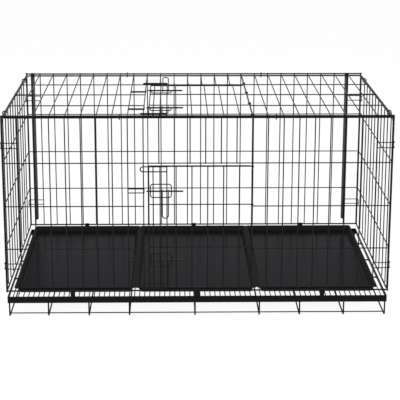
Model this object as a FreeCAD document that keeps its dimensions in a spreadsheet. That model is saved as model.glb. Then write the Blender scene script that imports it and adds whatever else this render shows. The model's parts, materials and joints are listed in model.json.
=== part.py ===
"""Covered dog playpen of welded wire, on a raised wire floor with three lift-out trays.

Units are millimetres. X runs along the width, the front faces -Y, and Z = 0 is the ground.
On each panel, u runs across it, v up it (or to the back, on top) and w outwards from the plane
where its two layers of wire are welded: uprights lie outside that plane, rows inside it.
"""

import FreeCAD, Part
import Sketcher
import math
import os

SIZES = {
    # Panels
    "pen_width": 1220,  # between the centres of the corner posts
    "pen_depth": 776,  # between the weld planes of the front and back panels
    "wall_bottom": 88,  # ground to the centre of the walls' bottom rail
    "wall_height": 570,  # bottom rail to top rail, between centres
    "columns": 25,  # gaps between upright wires, front and back
    "side_columns": 11,
    "rows": 4,  # gaps between row wires
    "top_gap_extra": 10,  # added to the walls' highest gap
    "rail_diameter": 5,
    "wire_diameter": 3.4,
    "frame_bend": 16,  # radius of the bent corners of frame wires
    "rail_gap": 0.5,  # top frame inside the rails of the front and back panels
    "top_drop": 6,  # top frame below these rails
    "side_hinge_gap": 0.6,  # side panel's rail below the top frame
    "side_clearance": 0.5,  # side panel to the panels before and behind it
    # Door in the front panel and hatch in the top panel
    "opening_first_column": 9,
    "opening_last_column": 16,
    "leaf_gap": 10,  # leaf's rails to the rails of its opening
    "leaf_edge": 16.6,  # opening's free side to the leaf's edge wire
    "latch_wire_start": 30.3,
    "latch_wire_pitch": 21.6,
    "leaf_wire_start": 102.5,
    "leaf_wires": 5,  # between the latch and the hinge side
    "leaf_last_gap": 40,  # last of these wires to the hinge
    "leaf_row_lift": 6,  # leaf's middle rails above the panel's rows
    "hinge_clearance": 0.3,
    "tab_width": 16,
    "tab_reach": 9.7,  # stop tab past the free side of the opening
    "tab_clearance": 0.3,
    # Slide bolts
    "door_lower_latch": 104,  # above the bottom rail
    "door_upper_drop": 88,  # below the row over the door
    "hatch_front_latch": 106,  # behind the front weld plane
    "hatch_back_latch": 407,
    "fine_diameter": 3,  # wire of rings, keepers and handles
    "bolt_diameter": 5,
    "bolt_length": 116.6,
    "bolt_tip": 8.8,  # opening's free side to the drawn-back bolt's tip
    "guide_clearance": 0.4,
    "latch_keeper_start": 21.5,
    "latch_keeper_width": 66,
    "latch_keeper_height": 42.8,
    "latch_keeper_bend": 8,
    "strike_reach": 2,  # strike eye past the free side of the opening
    "strike_spread": 13,  # between the two strike bars
    "handle_start": 59,  # opening's free side to the handle's first eye
    "handle_width": 19,
    "handle_length": 89,
    "handle_clearance": 0.1,
    "handle_raise": 20,  # degrees, back hatch handle above flat
    # Corner keepers and rings
    "keeper_lower": 85,  # above the bottom rail
    "keeper_upper": 478,
    "keeper_spread": 17,
    "keeper_depth": 12.5,  # hook inside the weld plane
    "keeper_clearance": 0.5,
    "keeper_bend": 4,
    "ring_slack": 0.5,
    "side_ring_place": 292,  # either side of the middle of the depth
    "tie_ring_columns": 5,  # columns either side of the middle of the width
    # Uprights on the back and bars on the top
    "upright_width": 14,
    "upright_thickness": 3.4,
    "upright_left_inset": 22,
    "upright_right_inset": 52,
    "left_end_bar": 62,
    "right_end_bar": 90,
    # Base
    "bar_thickness": 3,
    "bar_height": 22,
    "bar_top": 69,
    "end_bar_height": 14,
    "floor_top": 64,
    "floor_columns": 75,
    "floor_wire_diameter": 3,
    "cross_wire_start": 219,  # behind the front weld plane
    "cross_wire_pitch": 195,
    "cross_wires": 3,
    "skid_bend": 8,
    "tie_wire_inset": 22,
    "clip_width": 16,
    "clip_thickness": 2,
    "clip_overlap": 16,  # strap down the face of the bar
    "clip_clearance": 0.1,
    "clip_columns": 8.2,  # columns either side of the middle of the width
    # Trays
    "tray_height": 20,
    "tray_wall": 2.5,
    "tray_rim": 6,
    "tray_slope": 10,  # how far a wall leans out from floor to rim
    "tray_corner": 10,
    "tray_left_gap": 17,  # end of the base to the left tray
    "tray_gap": 1,  # between trays
    "tray_right_gap": 25,
    "tray_front_gap": 42,  # front weld plane to the trays
    "tray_back_gap": 8.5,
    "tray_clearance": 0.3,
}

# Where the skids between the two end ones stand, counted in floor columns from the left
SKID_COLUMNS = (8, 16, 24, 37, 49.75, 57.75, 66.5)

doc = FreeCAD.newDocument("Playpen")
sheet = doc.addObject("Spreadsheet::Sheet", "Sizes")
for line, (name, value) in enumerate(SIZES.items(), start=1):
    sheet.set(f"A{line}", name)
    sheet.set(f"B{line}", str(value))
    sheet.setAlias(f"B{line}", name)
doc.recompute()

NODES = []
AXES = {"X": FreeCAD.Vector(1, 0, 0), "Y": FreeCAD.Vector(0, 1, 0), "Z": FreeCAD.Vector(0, 0, 1)}
TURNS = {
    "X": FreeCAD.Rotation(AXES["Y"], 90),
    "Y": FreeCAD.Rotation(AXES["X"], -90),
    "Z": FreeCAD.Rotation(),
}

# Places that several pieces share, as expressions on the sheet
HALF_WIDTH = "Sizes.pen_width / 2"
HALF_DEPTH = "Sizes.pen_depth / 2"
RAIL_RADIUS = "Sizes.rail_diameter / 2"
WIRE_RADIUS = "Sizes.wire_diameter / 2"
FINE_RADIUS = "Sizes.fine_diameter / 2"
COLUMN = "Sizes.pen_width / Sizes.columns"
FLOOR_COLUMN = "Sizes.pen_width / Sizes.floor_columns"
TRAY_ROOM = "(Sizes.pen_width - Sizes.tray_left_gap - Sizes.tray_right_gap - 2 * Sizes.tray_gap)"
TRAY_WIDTH = f"({TRAY_ROOM} / 3)"
TRAY_DEPTH = "(Sizes.pen_depth - Sizes.tray_front_gap - Sizes.tray_back_gap)"
TOP_FRAME = "(Sizes.wall_bottom + Sizes.wall_height - Sizes.top_drop)"
TOP_INSET = f"(Sizes.rail_diameter + Sizes.rail_gap + {RAIL_RADIUS})"
TOP_WELD = f"({TOP_FRAME} + {RAIL_RADIUS})"
RAIL_PLACE = f"({HALF_DEPTH} - {RAIL_RADIUS})"
SIDE_TOP = f"({TOP_FRAME} - Sizes.rail_diameter - Sizes.side_hinge_gap)"
SIDE_HALF = f"({HALF_DEPTH} - Sizes.rail_diameter - Sizes.side_clearance - {RAIL_RADIUS})"
OPENING = f"(Sizes.opening_first_column * {COLUMN})"
HINGE = f"(Sizes.opening_last_column * {COLUMN})"
BOLT_LIFT = (
    "(Sizes.wire_diameter + Sizes.fine_diameter + Sizes.guide_clearance + Sizes.bolt_diameter / 2)"
)


def size(name):
    """A value of the sheet, as a number."""
    return float(sheet.get(name))


def bind(piece, place, **sizes):
    """Tie a piece's place and sizes to expressions on the sheet."""
    for letter, expression in zip("xyz", place):
        piece.setExpression(f"Placement.Base.{letter}", expression)
    for name, expression in sizes.items():
        piece.setExpression(name, expression)
    return piece


def rod(axis, start, length, diameter):
    """A straight wire along a world axis."""
    wire = doc.addObject("Part::Cylinder", "Wire")
    wire.Placement = FreeCAD.Placement(FreeCAD.Vector(), TURNS[axis])
    return bind(wire, start, Radius=f"({diameter}) / 2", Height=length)


def ring(axis, centre, hole_radius, diameter):
    """A closed ring of round wire about a world axis."""
    torus = doc.addObject("Part::Torus", "Ring")
    torus.Placement = FreeCAD.Placement(FreeCAD.Vector(), TURNS[axis])
    middle = f"{hole_radius} + ({diameter}) / 2"
    return bind(torus, centre, Radius1=middle, Radius2=f"({diameter}) / 2")


def elbow(centre, first, second, bend, diameter):
    """A quarter bend of round wire, from the first direction to the second."""
    torus = doc.addObject("Part::Torus", "Bend")
    turn = FreeCAD.Rotation(first, second, first.cross(second), "ZXY")
    torus.Placement = FreeCAD.Placement(FreeCAD.Vector(), turn)
    torus.Angle3 = 90
    return bind(torus, centre, Radius1=bend, Radius2=f"({diameter}) / 2")


def block(corner, length, width, height):
    """A flat bar or plate from its lowest corner."""
    box = doc.addObject("Part::Box", "Plate")
    return bind(box, corner, Length=length, Width=width, Height=height)


def bent_wire(corners, bend, diameter):
    """The shape of one round wire through its corners, bent alike at each."""
    edges = []
    start = corners[0]
    for before, corner, after in zip(corners, corners[1:], corners[2:]):
        back = (before - corner).normalize()
        ahead = (after - corner).normalize()
        half_angle = back.getAngle(ahead) / 2
        entry = corner + back * (bend / math.tan(half_angle))
        leave = corner + ahead * (bend / math.tan(half_angle))
        inward = (back + ahead).normalize()
        middle = corner + inward * (bend / math.sin(half_angle) - bend)
        if start.distanceToPoint(entry) > 1e-6:
            edges.append(Part.LineSegment(start, entry).toShape())
        edges.append(Part.Arc(entry, middle, leave).toShape())
        start = leave
    edges.append(Part.LineSegment(start, corners[-1]).toShape())
    section = Part.makeCircle(diameter / 2, corners[0], corners[1] - corners[0])
    return Part.Wire(edges).makePipeShell([Part.Wire(section)], True, False)


def formed(shape, place, turn=FreeCAD.Rotation()):
    """A piece with a shape of its own, at a place bound to the sheet."""
    piece = doc.addObject("Part::Feature", "Formed")
    piece.Shape = shape
    piece.Placement = FreeCAD.Placement(FreeCAD.Vector(), turn)
    return bind(piece, place)


def node(label, pieces):
    """One named sub-part, of one or more solids."""
    group = doc.addObject("Part::Compound", label)
    group.Label = label
    group.Links = pieces
    NODES.append(group)


class Panel:
    """A panel's own u, v and w, and where they lie in the world."""

    def __init__(self, u_axis, v_axis, place):
        self.axes = {"u": u_axis, "v": v_axis}
        self.place = place

    def rod(self, along, u, v, w, length, diameter):
        return rod(self.axes[along], self.place(u, v, w), length, diameter)

    def frame(self, low, high, w, bend, diameter):
        """A rectangle of bent wire: four straight runs and four corner bends."""
        (u0, v0), (u1, v1) = low, high
        across = f"{u1} - ({u0}) - 2 * {bend}"
        up = f"{v1} - ({v0}) - 2 * {bend}"
        pieces = [
            self.rod("u", f"{u0} + {bend}", v0, w, across, diameter),
            self.rod("u", f"{u0} + {bend}", v1, w, across, diameter),
            self.rod("v", u0, f"{v0} + {bend}", w, up, diameter),
            self.rod("v", u1, f"{v0} + {bend}", w, up, diameter),
        ]
        for u, u_side in ((f"{u0} + {bend}", -1), (f"{u1} - {bend}", 1)):
            for v, v_side in ((f"{v0} + {bend}", -1), (f"{v1} - {bend}", 1)):
                out = AXES[self.axes["u"]] * u_side
                up_out = AXES[self.axes["v"]] * v_side
                pieces.append(elbow(self.place(u, v, w), out, up_out, bend, diameter))
        return pieces


FRONT = Panel("X", "Z", lambda u, v, w: (
    f"-{HALF_WIDTH} + {u}", f"-{HALF_DEPTH} - ({w})", f"Sizes.wall_bottom + {v}"))
BACK = Panel("X", "Z", lambda u, v, w: (
    f"-{HALF_WIDTH} + {u}", f"{HALF_DEPTH} + ({w})", f"Sizes.wall_bottom + {v}"))
TOP = Panel("X", "Y", lambda u, v, w: (
    f"-{HALF_WIDTH} + {u}", f"-{HALF_DEPTH} + {v}", f"{TOP_WELD} + ({w})"))
LEFT = Panel("Y", "Z", lambda u, v, w: (
    f"-{HALF_WIDTH} - ({w})", f"-{SIDE_HALF} + {u}", f"Sizes.wall_bottom + {v}"))
RIGHT = Panel("Y", "Z", lambda u, v, w: (
    f"{HALF_WIDTH} + ({w})", f"-{SIDE_HALF} + {u}", f"Sizes.wall_bottom + {v}"))

columns = int(size("columns"))
rows = int(size("rows"))
first_column = int(size("opening_first_column"))
last_column = int(size("opening_last_column"))
header_row = rows - 1


def wall_row(row):
    return f"({row} * (Sizes.wall_height - Sizes.top_gap_extra) / Sizes.rows)"


def top_row(row):
    return f"({TOP_INSET} + {row} * (Sizes.pen_depth - 2 * {TOP_INSET}) / Sizes.rows)"


def in_opening(column):
    return first_column < column < last_column


def uprights(panel, chosen, thick, row, low, high, opened):
    """Outer wires of a panel: those over an opening stop at the row above it."""
    pieces = []
    for column in chosen:
        diameter = "Sizes.rail_diameter" if column in thick else "Sizes.wire_diameter"
        start = row(header_row) if opened and in_opening(column) else low
        u = f"{column} * {COLUMN}"
        pieces.append(panel.rod("v", u, start, f"{diameter} / 2", f"{high} - ({start})", diameter))
    return pieces


def row_wires(panel, row, opened, inset="0"):
    """Inner wires of a panel, parted where its opening is."""
    low, high = inset, f"(Sizes.pen_width - {inset})"
    pieces = []
    for number in range(1, rows):
        spans = [(low, high)]
        if opened and number < header_row:
            spans = [(low, OPENING), (HINGE, high)]
        for start, end in spans:
            length = f"{end} - {start}"
            w = f"-{WIRE_RADIUS}"
            pieces.append(panel.rod("u", start, row(number), w, length, "Sizes.wire_diameter"))
    return pieces


def wall_rails(panel):
    """Top and bottom rail of the front or back panel."""
    w = f"-{RAIL_RADIUS}"
    return [
        panel.rod("u", "0", height, w, "Sizes.pen_width", "Sizes.rail_diameter")
        for height in ("0", "Sizes.wall_height")
    ]


# Front, back and top panels
wall_low = f"-{RAIL_RADIUS}"
wall_high = f"Sizes.wall_height + {RAIL_RADIUS}"
corner_columns = (0, columns)
node("front_uprights", uprights(
    FRONT, range(columns + 1), (*corner_columns, last_column), wall_row, wall_low, wall_high, True))
node("front_rails", wall_rails(FRONT))
node("front_row_wires", row_wires(FRONT, wall_row, True))

bar_column = columns - 1
back_columns = [column for column in range(columns + 1) if column != bar_column]
node("back_uprights", uprights(
    BACK, back_columns, corner_columns, wall_row, wall_low, wall_high, False))
node("back_rails", wall_rails(BACK))
node("back_row_wires", row_wires(BACK, wall_row, False))
node("back_flat_bars", [
    block(
        BACK.place(f"{middle} - Sizes.upright_width / 2", wall_low, "0"),
        "Sizes.upright_width", "Sizes.upright_thickness", f"{wall_high} - ({wall_low})")
    for middle in ("Sizes.upright_left_inset", "Sizes.pen_width - Sizes.upright_right_inset")
])

top_back = f"(Sizes.pen_depth - {TOP_INSET})"
node("top_frame", TOP.frame(
    ("0", TOP_INSET), ("Sizes.pen_width", top_back), f"-{RAIL_RADIUS}", "Sizes.frame_bend",
    "Sizes.rail_diameter"))
node("top_cross_wires", uprights(
    TOP, range(1, columns), (last_column,), top_row, f"{TOP_INSET} - {RAIL_RADIUS}",
    f"{top_back} + {RAIL_RADIUS}", True))
node("top_long_wires", row_wires(TOP, top_row, True, RAIL_RADIUS))
bar_place = f"{WIRE_RADIUS} + {RAIL_RADIUS}"
node("top_end_bars", [
    rod("X", (f"-{HALF_WIDTH} + {RAIL_RADIUS}", bar_place, TOP_FRAME),
        "Sizes.left_end_bar", "Sizes.rail_diameter"),
    rod("X", (f"{HALF_WIDTH} - {RAIL_RADIUS} - Sizes.right_end_bar", bar_place, TOP_FRAME),
        "Sizes.right_end_bar", "Sizes.rail_diameter"),
])

# Rings: two tie the top frame to each of the front and back rails, two carry each side panel
tie_across = f"({TOP_INSET} - {RAIL_RADIUS})"
tie_place = f"({RAIL_PLACE} - {tie_across} / 2)"
tie_height = f"{TOP_FRAME} + Sizes.top_drop / 2"
tie_hole = f"sqrt({tie_across}^2 + Sizes.top_drop^2) / 2 + {RAIL_RADIUS} + Sizes.ring_slack"
node("top_tie_rings", [
    ring("X", (f"{side} * Sizes.tie_ring_columns * {COLUMN}", f"{end} * {tie_place}", tie_height),
         tie_hole, "Sizes.fine_diameter")
    for side in (-1, 1) for end in (-1, 1)
])
side_ring_height = f"{TOP_FRAME} - (Sizes.rail_diameter + Sizes.side_hinge_gap) / 2"
side_ring_hole = "Sizes.rail_diameter + Sizes.ring_slack"
node("side_hinge_rings", [
    ring("Y", (f"{side} * {HALF_WIDTH}", f"{end} * Sizes.side_ring_place", side_ring_height),
         side_ring_hole, "Sizes.fine_diameter")
    for side in (-1, 1) for end in (-1, 1)
])

# Side panels, which hang in their rings and swing inwards
side_width = f"(2 * {SIDE_HALF})"
side_height = f"({SIDE_TOP} - Sizes.wall_bottom)"
side_columns = int(size("side_columns"))
for name, panel in (("left", LEFT), ("right", RIGHT)):
    node(f"{name}_side_frame", panel.frame(
        ("0", "0"), (side_width, side_height), "0", "Sizes.frame_bend", "Sizes.rail_diameter"))
    node(f"{name}_side_uprights", [
        panel.rod(
            "v", f"{column} * {side_width} / Sizes.side_columns", "0",
            f"{RAIL_RADIUS} + {WIRE_RADIUS}", side_height, "Sizes.wire_diameter")
        for column in range(1, side_columns)
    ])
    node(f"{name}_side_row_wires", [
        panel.rod(
            "u", RAIL_RADIUS, wall_row(number), f"{RAIL_RADIUS} - {WIRE_RADIUS}",
            f"{side_width} - Sizes.rail_diameter", "Sizes.wire_diameter")
        for number in range(1, rows)
    ])


def corner_keeper(side, end, height):
    """A hairpin of wire on a corner post, hooked round the outside of the side panel."""
    reach = size("pen_width") / size("columns")
    out = (size("rail_diameter") + size("fine_diameter")) / 2 + size("keeper_clearance")
    front = size("rail_diameter") + size("fine_diameter") / 2
    half = size("keeper_spread") / 2
    path = [
        (-reach, front, half), (out, front, half), (out, -size("keeper_depth"), half),
        (out, -size("keeper_depth"), -half), (out, front, -half), (-reach, front, -half),
    ]
    corners = [FreeCAD.Vector(side * u, end * w, v) for u, w, v in path]
    shape = bent_wire(corners, size("keeper_bend"), size("fine_diameter"))
    place = (f"{side} * {HALF_WIDTH}", f"{end} * {HALF_DEPTH}", f"Sizes.wall_bottom + {height}")
    return formed(shape, place)


for name, end in (("front", -1), ("back", 1)):
    node(f"{name}_corner_keepers", [
        corner_keeper(side, end, height)
        for side in (-1, 1) for height in ("Sizes.keeper_lower", "Sizes.keeper_upper")
    ])


def handle(panel, latch, angle):
    """A loop handle with two eyes on its bolt, turned from hanging straight down."""
    bend = size("handle_width") / 2
    width = size("handle_width")
    length = size("handle_length")
    eye = (size("bolt_diameter") + size("fine_diameter")) / 2 + size("handle_clearance")
    path = [(0, -eye), (0, -length), (width, -length), (width, -eye)]
    loop = bent_wire([FreeCAD.Vector(x, 0, z) for x, z in path], bend, size("fine_diameter"))
    eyes = [
        Part.makeTorus(eye, size("fine_diameter") / 2, FreeCAD.Vector(x, 0, 0), AXES["X"])
        for x in (0, width)
    ]
    place = panel.place(f"{OPENING} + Sizes.handle_start", latch, BOLT_LIFT)
    return formed(loop.fuse(eyes), place, FreeCAD.Rotation(AXES["X"], angle))


def leaf(name, panel, row, latches):
    """A door or hatch: its wires, hinge eyes, stop tabs, latches and their strikes."""
    low = f"({row(0)} + Sizes.leaf_gap)"
    high = f"({row(header_row)} - Sizes.leaf_gap)"
    edge = f"({OPENING} + Sizes.leaf_edge)"
    latch_wires = [
        f"({OPENING} + Sizes.latch_wire_start + {n} * Sizes.latch_wire_pitch)" for n in range(3)
    ]
    first_wire = f"({OPENING} + Sizes.leaf_wire_start)"
    wire_span = f"({HINGE} - Sizes.leaf_last_gap - {first_wire})"
    open_wires = [
        f"({first_wire} + {n} * {wire_span} / (Sizes.leaf_wires - 1))"
        for n in range(int(size("leaf_wires")))
    ]
    node(f"{name}_uprights", [
        panel.rod(
            "v", u, f"{low} - {RAIL_RADIUS}", WIRE_RADIUS,
            f"{high} - {low} + Sizes.rail_diameter", "Sizes.wire_diameter")
        for u in (edge, *latch_wires, *open_wires)
    ])

    # Each rail ends on an eye that turns on the thick wire at the opening's hinge side
    eye_radius = f"({RAIL_RADIUS} + Sizes.hinge_clearance + Sizes.fine_diameter)"
    rail_end = f"({HINGE} - sqrt({eye_radius}^2 - ({RAIL_RADIUS})^2))"
    rail_start = f"({edge} - {WIRE_RADIUS})"
    rail_length = f"{rail_end} - {rail_start}"
    rails = [
        panel.rod("u", rail_start, v, f"-{RAIL_RADIUS}", rail_length, "Sizes.rail_diameter")
        for v in (low, high)
    ]
    middle_rows = [f"({row(number)} + Sizes.leaf_row_lift)" for number in range(1, header_row)]
    rails += [
        panel.rod("u", rail_start, v, f"-{WIRE_RADIUS}", rail_length, "Sizes.wire_diameter")
        for v in middle_rows
    ]
    node(f"{name}_rails", rails)
    node(f"{name}_hinge_rings", [
        ring(panel.axes["v"], panel.place(HINGE, v, RAIL_RADIUS),
             f"{RAIL_RADIUS} + Sizes.hinge_clearance", "Sizes.fine_diameter")
        for v in (low, *middle_rows, high)
    ])

    # The stop tabs lie over the wire at the opening's free side
    tab_lift = f"Sizes.wire_diameter + Sizes.tab_clearance + {WIRE_RADIUS}"
    tab_bend = "Sizes.tab_width / 2"
    tab_start = f"{OPENING} - Sizes.tab_reach + {tab_bend}"
    tabs = []
    for middle in (f"{low} + {tab_bend}", f"{high} - {tab_bend}"):
        for side in (-1, 1):
            v = f"{middle} + {side} * {tab_bend}"
            length = f"{latch_wires[2]} - ({tab_start})"
            tabs.append(panel.rod("u", tab_start, v, tab_lift, length, "Sizes.wire_diameter"))
            tabs.append(elbow(
                panel.place(tab_start, middle, tab_lift), AXES[panel.axes["u"]] * -1,
                AXES[panel.axes["v"]] * side, tab_bend, "Sizes.wire_diameter"))
    node(f"{name}_stop_tabs", tabs)

    keepers, guides, bars, eyes = [], [], [], []
    guide_hole = "Sizes.bolt_diameter / 2 + Sizes.guide_clearance"
    fine_lift = f"Sizes.wire_diameter + {FINE_RADIUS}"
    for latch_name, latch, angle in latches:
        half_height = "Sizes.latch_keeper_height / 2"
        start = f"{OPENING} + Sizes.latch_keeper_start"
        keepers += panel.frame(
            (start, f"{latch} - {half_height}"),
            (f"{start} + Sizes.latch_keeper_width", f"{latch} + {half_height}"),
            fine_lift, "Sizes.latch_keeper_bend", "Sizes.fine_diameter")
        for u in (edge, open_wires[0]):
            centre = panel.place(u, latch, BOLT_LIFT)
            guides.append(ring(panel.axes["u"], centre, guide_hole, "Sizes.fine_diameter"))
        strike_end = f"{OPENING} + Sizes.strike_reach"
        strike_start = f"{OPENING} - {COLUMN}"
        for side in (-1, 1):
            bars.append(panel.rod(
                "u", strike_start, f"{latch} + {side} * Sizes.strike_spread / 2", fine_lift,
                f"{strike_end} + {FINE_RADIUS} - ({strike_start})", "Sizes.fine_diameter"))
        centre = panel.place(strike_end, latch, BOLT_LIFT)
        eyes.append(ring(panel.axes["u"], centre, guide_hole, "Sizes.fine_diameter"))
        node(f"{latch_name}_bolt", [panel.rod(
            "u", f"{OPENING} + Sizes.bolt_tip", latch, BOLT_LIFT, "Sizes.bolt_length",
            "Sizes.bolt_diameter")])
        node(f"{latch_name}_handle", [handle(panel, latch, angle)])
    node(f"{name}_latch_keepers", keepers)
    node(f"{name}_bolt_guides", guides)
    node(f"{name}_strike_bars", bars)
    node(f"{name}_strike_eyes", eyes)


leaf("front_door", FRONT, wall_row, (
    ("door_lower", "Sizes.door_lower_latch", 0),
    ("door_upper", f"({wall_row(header_row)} - Sizes.door_upper_drop)", 0),
))
leaf("top_hatch", TOP, top_row, (
    ("hatch_front", "Sizes.hatch_front_latch", -90),
    ("hatch_back", "Sizes.hatch_back_latch", 90 + size("handle_raise")),
))

# Base: bars, floor wires, skids and their tie wires
bar_low = "Sizes.bar_top - Sizes.bar_height"
bar_half = "Sizes.bar_thickness / 2"
bar_inside = f"({RAIL_PLACE} - {bar_half})"
for name, end in (("front", -1), ("back", 1)):
    node(f"base_{name}_bar", [block(
        (f"-{HALF_WIDTH}", f"{end} * {RAIL_PLACE} - {bar_half}", bar_low),
        "Sizes.pen_width", "Sizes.bar_thickness", "Sizes.bar_height")])
node("base_end_bars", [
    block((f"{side} * ({HALF_WIDTH} - {bar_half}) - {bar_half}", f"-{bar_inside}",
           "Sizes.bar_top - Sizes.end_bar_height"),
          "Sizes.bar_thickness", f"2 * {bar_inside}", "Sizes.end_bar_height")
    for side in (-1, 1)
])
floor_height = "Sizes.floor_top - Sizes.floor_wire_diameter / 2"
node("floor_wires", [
    rod("Y", (f"-{HALF_WIDTH} + {column} * {FLOOR_COLUMN}", f"-{bar_inside}", floor_height),
        f"2 * {bar_inside}", "Sizes.floor_wire_diameter")
    for column in range(1, int(size("floor_columns")))
])
cross_height = f"Sizes.floor_top - Sizes.floor_wire_diameter - {RAIL_RADIUS}"
node("floor_cross_wires", [
    rod("X", (f"-{HALF_WIDTH} + Sizes.bar_thickness",
              f"-{HALF_DEPTH} + Sizes.cross_wire_start + {number} * Sizes.cross_wire_pitch",
              cross_height),
        "Sizes.pen_width - 2 * Sizes.bar_thickness", "Sizes.rail_diameter")
    for number in range(int(size("cross_wires")))
])

end_skid = f"({HALF_WIDTH} - Sizes.bar_thickness - {RAIL_RADIUS})"
skid_places = [f"-{HALF_WIDTH} + {column} * {FLOOR_COLUMN}" for column in SKID_COLUMNS]
skid_leg = f"({bar_inside} - {RAIL_RADIUS})"
skid_top = "Sizes.floor_top - Sizes.floor_wire_diameter"
skid_turn = f"({RAIL_RADIUS} + Sizes.skid_bend)"
skids = []
for x in (f"-{end_skid}", *skid_places, end_skid):
    run = f"({skid_leg} - Sizes.skid_bend)"
    skids.append(rod("Y", (x, f"-{run}", RAIL_RADIUS), f"2 * {run}", "Sizes.rail_diameter"))
    for end in (-1, 1):
        skids.append(rod(
            "Z", (x, f"{end} * {skid_leg}", skid_turn), f"{skid_top} - {skid_turn}",
            "Sizes.rail_diameter"))
        skids.append(elbow(
            (x, f"{end} * {run}", skid_turn), AXES["Y"] * end, AXES["Z"] * -1,
            "Sizes.skid_bend", "Sizes.rail_diameter"))
node("skids", skids)
node("skid_tie_wires", [
    rod("X", (f"-{end_skid}", f"{end} * ({HALF_DEPTH} - Sizes.tie_wire_inset)",
              f"Sizes.rail_diameter + {WIRE_RADIUS}"),
        f"2 * {end_skid}", "Sizes.wire_diameter")
    for end in (-1, 1)
])


def base_clip(middle, end):
    """A strap on the face of a base bar, rolled round the panel's bottom rail."""
    left = f"{middle} - Sizes.clip_width / 2"
    face = f"{end} * ({RAIL_PLACE} + {bar_half} + Sizes.clip_thickness / 2)"
    plate = block(
        (left, f"{face} - Sizes.clip_thickness / 2", "Sizes.bar_top - Sizes.clip_overlap"),
        "Sizes.clip_width", "Sizes.clip_thickness",
        "Sizes.wall_bottom - Sizes.bar_top + Sizes.clip_overlap")
    rail = (left, f"{end} * {RAIL_PLACE}", "Sizes.wall_bottom")
    bore_diameter = "Sizes.rail_diameter + 2 * Sizes.clip_clearance"
    knuckle = rod("X", rail, "Sizes.clip_width", f"{bore_diameter} + 2 * Sizes.clip_thickness")
    strap = doc.addObject("Part::Fuse", "Strap")
    strap.Base = plate
    strap.Tool = knuckle
    clip = doc.addObject("Part::Cut", "Clip")
    clip.Base = strap
    clip.Tool = rod("X", rail, "Sizes.clip_width", bore_diameter)
    return clip


for name, end in (("front", -1), ("back", 1)):
    node(f"{name}_base_clips", [
        base_clip(f"{side} * Sizes.clip_columns * {COLUMN}", end) for side in (-1, 0, 1)
    ])


def origin_plane(body, role):
    return next(plane for plane in body.Origin.OriginFeatures if plane.Role == role)


def tray_outline(body, name, height, inset):
    """A rectangle centred on the tray, in from its rim, at a height above its floor."""
    sketch = body.newObject("Sketcher::SketchObject", name)
    sketch.AttachmentSupport = [(origin_plane(body, "XY_Plane"), "")]
    sketch.MapMode = "FlatFace"
    sketch.setExpression("AttachmentOffset.Base.z", height)
    points = [FreeCAD.Vector(x, y, 0) for x, y in ((-9, -9), (9, -9), (9, 9), (-9, 9))]
    for start, end in zip(points, points[1:] + points[:1]):
        sketch.addGeometry(Part.LineSegment(start, end))
    for side in range(4):
        sketch.addConstraint(Sketcher.Constraint("Coincident", side, 2, (side + 1) % 4, 1))
    for side, kind in enumerate(("Horizontal", "Vertical", "Horizontal", "Vertical")):
        sketch.addConstraint(Sketcher.Constraint(kind, side))
    sketch.addConstraint(Sketcher.Constraint("Symmetric", 0, 1, 2, 1, -1, 1))
    for side, kind, length in ((0, "width", TRAY_WIDTH), (1, "depth", TRAY_DEPTH)):
        place = sketch.addConstraint(Sketcher.Constraint("Distance", side, 18))
        sketch.renameConstraint(place, kind)
        sketch.setExpression(f"Constraints.{kind}", f"{length} - 2 * ({inset})")
    return sketch


def round_corners(body, base, radius, chosen):
    """Round a tray's corner edges whose lower ends pass the test."""
    doc.recompute()
    names = []
    for number, edge in enumerate(base.Shape.Edges, start=1):
        heights = sorted(vertex.Point.z for vertex in edge.Vertexes)
        rises = len(heights) == 2 and heights[1] - heights[0] > 1e-6
        if rises and chosen(heights[0]):
            names.append(f"Edge{number}")
    fillet = body.newObject("PartDesign::Fillet", "Corners")
    fillet.Base = (base, names)
    fillet.setExpression("Radius", radius)
    return fillet


def tray(label, place):
    """A shallow moulded tray: leaning walls, and a flat rim turned outwards."""
    body = doc.addObject("PartDesign::Body", label)
    body.Label = label
    tub = body.newObject("PartDesign::AdditiveLoft", "Tub")
    tub.Profile = tray_outline(body, "TubFloor", "0", "Sizes.tray_rim + Sizes.tray_slope")
    tub.Sections = [tray_outline(body, "TubTop", "Sizes.tray_height", "Sizes.tray_rim")]
    rim = body.newObject("PartDesign::Pad", "Rim")
    rim.Profile = tray_outline(body, "RimOutline", "Sizes.tray_height - Sizes.tray_wall", "0")
    rim.setExpression("Length", "Sizes.tray_wall")
    hollow = body.newObject("PartDesign::SubtractiveLoft", "Hollow")
    hollow_inset = "Sizes.tray_rim + Sizes.tray_wall"
    hollow.Profile = tray_outline(
        body, "HollowFloor", "Sizes.tray_wall", f"{hollow_inset} + Sizes.tray_slope")
    hollow.Sections = [tray_outline(body, "HollowTop", "Sizes.tray_height", hollow_inset)]
    wall = size("tray_wall")
    inside = round_corners(
        body, hollow, "Sizes.tray_corner - Sizes.tray_wall", lambda low: abs(low - wall) < 1e-6)
    round_corners(body, inside, "Sizes.tray_corner", lambda low: abs(low - wall) > 1e-6)
    bind(body, place)
    NODES.append(body)


for number, name in enumerate(("left", "middle", "right"), start=-1):
    tray(f"{name}_tray", (
        "(Sizes.tray_left_gap - Sizes.tray_right_gap) / 2"
        f" + {number} * ({TRAY_WIDTH} + Sizes.tray_gap)",
        f"-{HALF_DEPTH} + Sizes.tray_front_gap + {TRAY_DEPTH} / 2",
        "Sizes.floor_top + Sizes.tray_clearance"))

doc.recompute()
for item in doc.Objects:
    if "Invalid" in item.State or "Error" in item.State:
        raise RuntimeError(f"{item.Label} did not build: {item.State}")
for item in NODES:
    if item.Shape.isNull() or not item.Shape.isValid():
        raise RuntimeError(f"{item.Label} has no valid shape")

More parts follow.
